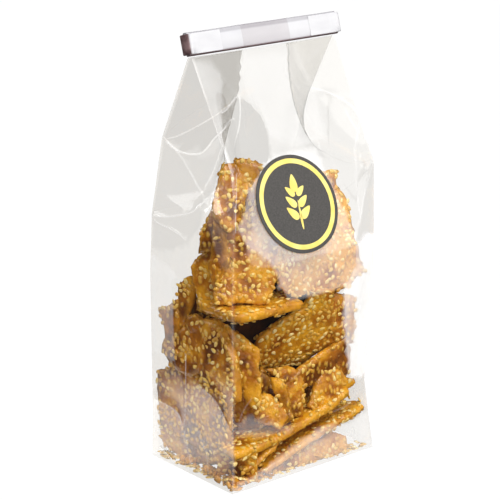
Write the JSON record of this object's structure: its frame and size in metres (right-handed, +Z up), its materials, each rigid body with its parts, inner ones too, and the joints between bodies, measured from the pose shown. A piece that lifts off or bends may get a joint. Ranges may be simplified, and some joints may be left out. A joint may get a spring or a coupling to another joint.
{
  "type": "bag of sesame brittle",
  "caption": "Clear gusseted food bag standing on a flat base, filled with broken sesame brittle, its flat-rolled top held by a tie, with a round label on the front.",
  "frame": {"origin": "middle of the bag's flat base", "axes": "+Z up, the front panel with the label faces -Y, +X to the right seen from the front"},
  "size_m": [0.0974, 0.0727, 0.2254],
  "materials": {
    "film": "clear, crisp, glossy food film with sharp creases, slightly milky where it is folded or doubled",
    "tie": "pale grey coated tie strip with a dull metallic edge",
    "label": "near-black satin paper sticker with pale gold printing",
    "brittle": "translucent amber caramel, glossy, packed with toasted sesame seeds",
    "sesame": "toasted hulled sesame seeds, pale cream to golden"
  },
  "bodies": {
    "root": {"bag": "film", "tie": "tie", "label": "label"}
  },
  "joints": []
}
